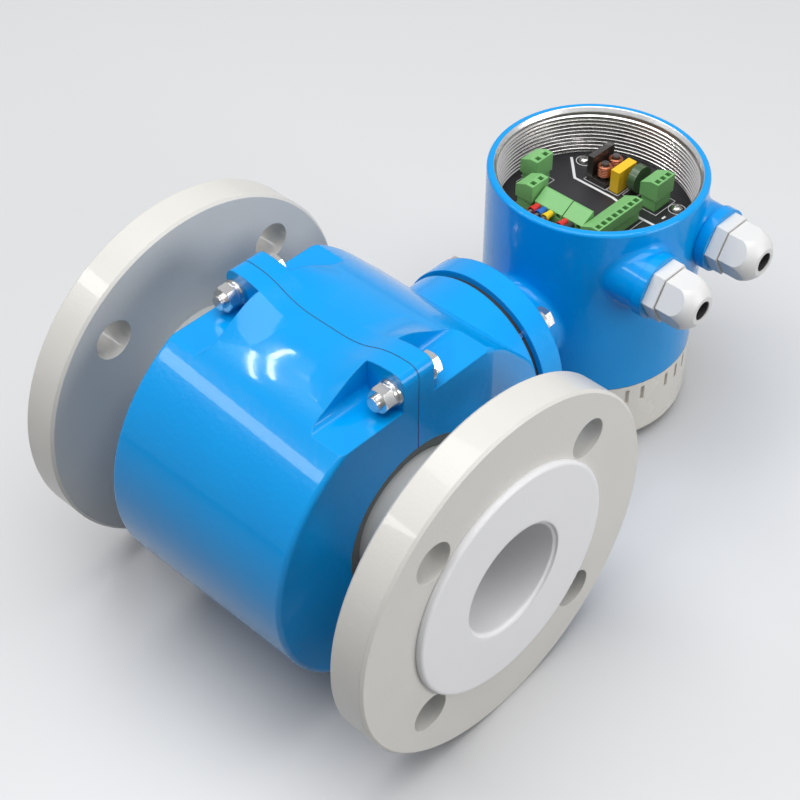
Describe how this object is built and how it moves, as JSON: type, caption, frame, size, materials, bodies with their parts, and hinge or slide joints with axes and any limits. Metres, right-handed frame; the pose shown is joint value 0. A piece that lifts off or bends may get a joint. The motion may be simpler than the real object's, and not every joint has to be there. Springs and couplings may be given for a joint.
{
  "type": "electromagnetic flow meter",
  "caption": "Flanged electromagnetic flow meter: lined flow tube in two clamped half shells, with a round converter on a bolted neck, its terminal end open.",
  "frame": {"origin": "middle of the flow bore, halfway between the two sealing faces", "axes": "+X along the bore to the outlet flange, +Y along the neck to the converter, +Z along the converter's axis to its open terminal end"},
  "size_m": [0.2, 0.3025, 0.165],
  "materials": {
    "blue_enamel": "gloss",
    "flange_paint": "satin",
    "tube_steel": "satin",
    "liner_ptfe": "satin",
    "stainless": "polished",
    "rubber": "matte",
    "nylon_white": "satin",
    "cover_enamel": "gloss",
    "window": "gloss",
    "board_black": "satin",
    "board_green": "satin",
    "plug_green": "satin",
    "copper": "satin",
    "soft_iron": "matte",
    "panel_gray": "satin",
    "key_gray": "matte",
    "lcd": "gloss",
    "choke_black": "satin",
    "capacitor_yellow": "satin",
    "varistor_green": "satin",
    "lead_red": "satin",
    "lead_gray": "satin",
    "insulator_white": "satin"
  },
  "bodies": {
    "meter": {"measuring_tube": "tube_steel", "ptfe_liner": "liner_ptfe", "inlet_flange": "flange_paint", "outlet_flange": "flange_paint", "inlet_shell_ring": "tube_steel", "outlet_shell_ring": "tube_steel", "lower_shell": "blue_enamel", "upper_shell": "blue_enamel", "shell_bolts": "stainless", "shell_flat_washers": "stainless", "shell_spring_washers": "stainless", "shell_nuts": "stainless", "neck_bolts": "stainless", "neck_washers": "stainless", "neck_gasket": "rubber", "upper_pole": "soft_iron", "lower_pole": "soft_iron", "upper_coil": "copper", "lower_coil": "copper", "magnet_yoke": "soft_iron", "front_electrode": "stainless", "rear_electrode": "stainless", "front_electrode_insulator": "insulator_white", "rear_electrode_insulator": "insulator_white", "electrode_nuts": "stainless", "converter_housing": "blue_enamel", "left_gland_body": "nylon_white", "right_gland_body": "nylon_white", "left_gland_seal": "rubber", "right_gland_seal": "rubber", "display_panel": "panel_gray", "lcd_module": "lcd", "display_board": "board_green", "main_board": "board_green", "terminal_board": "board_black", "board_screws": "stainless", "terminal_headers": "plug_green", "signal_terminal": "plug_green", "coil_terminal": "plug_green", "choke_core": "choke_black", "choke_windings": "copper", "film_capacitor": "capacitor_yellow", "varistor": "varistor_green", "signal_leads": "lead_gray", "coil_leads": "lead_gray", "lead_ferrules": "lead_red"},
    "cover": {"display_cover": "cover_enamel", "window_glass": "window", "window_seal": "rubber", "cover_oring": "rubber"},
    "left_gland_nut_body": {"left_gland_nut": "nylon_white"},
    "right_gland_nut_body": {"right_gland_nut": "nylon_white"},
    "pulse_plug_body": {"pulse_plug": "plug_green"},
    "current_plug_body": {"current_plug": "plug_green"},
    "power_plug_body": {"power_plug": "plug_green"},
    "output_plug_body": {"output_plug": "plug_green"},
    "display_key_1_body": {"display_key_1": "key_gray"},
    "display_key_2_body": {"display_key_2": "key_gray"},
    "display_key_3_body": {"display_key_3": "key_gray"},
    "display_key_4_body": {"display_key_4": "key_gray"}
  },
  "joints": [
    {"name": "display_cover_turn", "type": "hinge", "parent": "meter", "child": "cover", "pos_m": [0, 0.17, -0.048], "axis": [0, 0, -1], "range_deg": [0, 360]},
    {"name": "left_gland_nut_turn", "type": "hinge", "parent": "meter", "child": "left_gland_nut_body", "pos_m": [0.069, 0.1473, 0.0335], "axis": [1, 0, 0], "range_deg": [0, 360]},
    {"name": "right_gland_nut_turn", "type": "hinge", "parent": "meter", "child": "right_gland_nut_body", "pos_m": [0.069, 0.1927, 0.0335], "axis": [1, 0, 0], "range_deg": [0, 360]},
    {"name": "pulse_plug_pull", "type": "slide", "parent": "meter", "child": "pulse_plug_body", "axis": [0, 0, 1], "range_m": [0, 0.01]},
    {"name": "current_plug_pull", "type": "slide", "parent": "meter", "child": "current_plug_body", "axis": [0, 0, 1], "range_m": [0, 0.01]},
    {"name": "power_plug_pull", "type": "slide", "parent": "meter", "child": "power_plug_body", "axis": [0, 0, 1], "range_m": [0, 0.01]},
    {"name": "output_plug_pull", "type": "slide", "parent": "meter", "child": "output_plug_body", "axis": [0, 0, 1], "range_m": [0, 0.01]},
    {"name": "display_key_1_press", "type": "slide", "parent": "meter", "child": "display_key_1_body", "axis": [0, 0, 1], "range_m": [0, 0.0006], "stiffness_N_per_m": 400, "springref_m": -0.0005},
    {"name": "display_key_2_press", "type": "slide", "parent": "meter", "child": "display_key_2_body", "axis": [0, 0, 1], "range_m": [0, 0.0006], "stiffness_N_per_m": 400, "springref_m": -0.0005},
    {"name": "display_key_3_press", "type": "slide", "parent": "meter", "child": "display_key_3_body", "axis": [0, 0, 1], "range_m": [0, 0.0006], "stiffness_N_per_m": 400, "springref_m": -0.0005},
    {"name": "display_key_4_press", "type": "slide", "parent": "meter", "child": "display_key_4_body", "axis": [0, 0, 1], "range_m": [0, 0.0006], "stiffness_N_per_m": 400, "springref_m": -0.0005}
  ]
}
